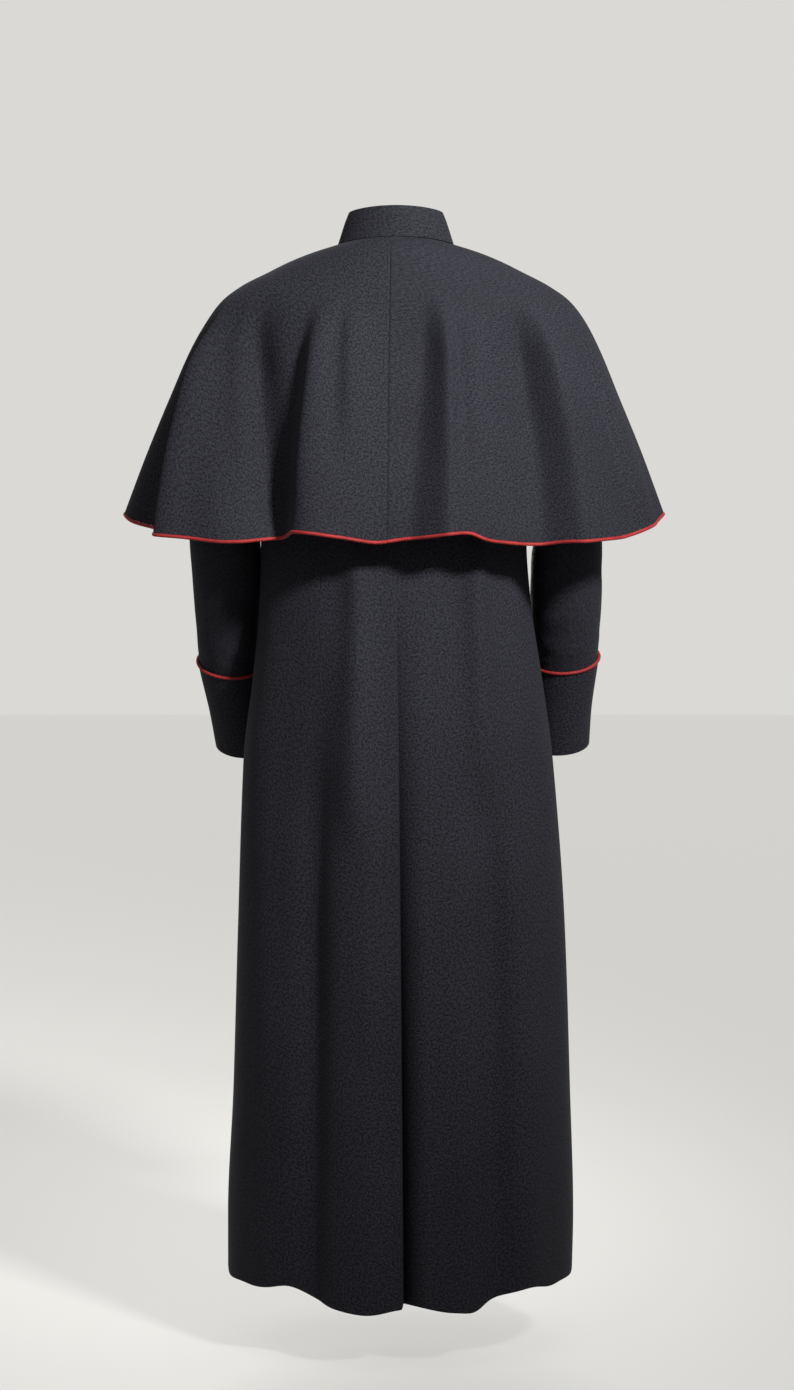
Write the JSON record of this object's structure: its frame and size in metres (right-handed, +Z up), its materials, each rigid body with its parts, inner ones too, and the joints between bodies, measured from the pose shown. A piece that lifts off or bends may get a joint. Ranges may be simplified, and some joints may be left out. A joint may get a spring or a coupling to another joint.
{
  "type": "clergy robe with shoulder cape, worn form",
  "caption": "Empty long black clergy robe in its worn form, with a shoulder cape, standing collar, deep cuffs and red piping",
  "frame": {"origin": "the middle of the neck, level with the collar seam, where the wearer holds the garment up", "axes": "+Z up, the front faces -Y, +X to the wearer's left"},
  "size_m": [0.7478, 0.3815, 1.4835],
  "materials": {
    "cloth": "matt black wool twill with a soft nap",
    "piping": "red satin-covered cord",
    "button": "black, softly domed"
  },
  "bodies": {
    "root": {"collar": "cloth", "cape_left": "cloth", "cape_right": "cloth", "back_left_top": "cloth", "back_left_middle": "cloth", "back_left_skirt": "cloth", "back_right_top": "cloth", "back_right_middle": "cloth", "back_right_skirt": "cloth", "front_left_top": "cloth", "front_left_middle": "cloth", "front_left_skirt": "cloth", "front_right_top": "cloth", "front_right_middle": "cloth", "front_right_skirt": "cloth", "sleeve_left": "cloth", "sleeve_right": "cloth", "cuff_left": "cloth", "cuff_right": "cloth", "cape_piping_left": "piping", "cape_piping_right": "piping", "cuff_piping_left": "piping", "cuff_piping_right": "piping", "button_01": "button", "button_02": "button", "button_03": "button", "button_04": "button", "button_05": "button", "button_06": "button", "button_07": "button", "button_08": "button", "button_09": "button", "button_10": "button", "button_11": "button", "button_12": "button", "button_13": "button", "button_14": "button", "button_15": "button", "button_16": "button"}
  },
  "joints": []
}
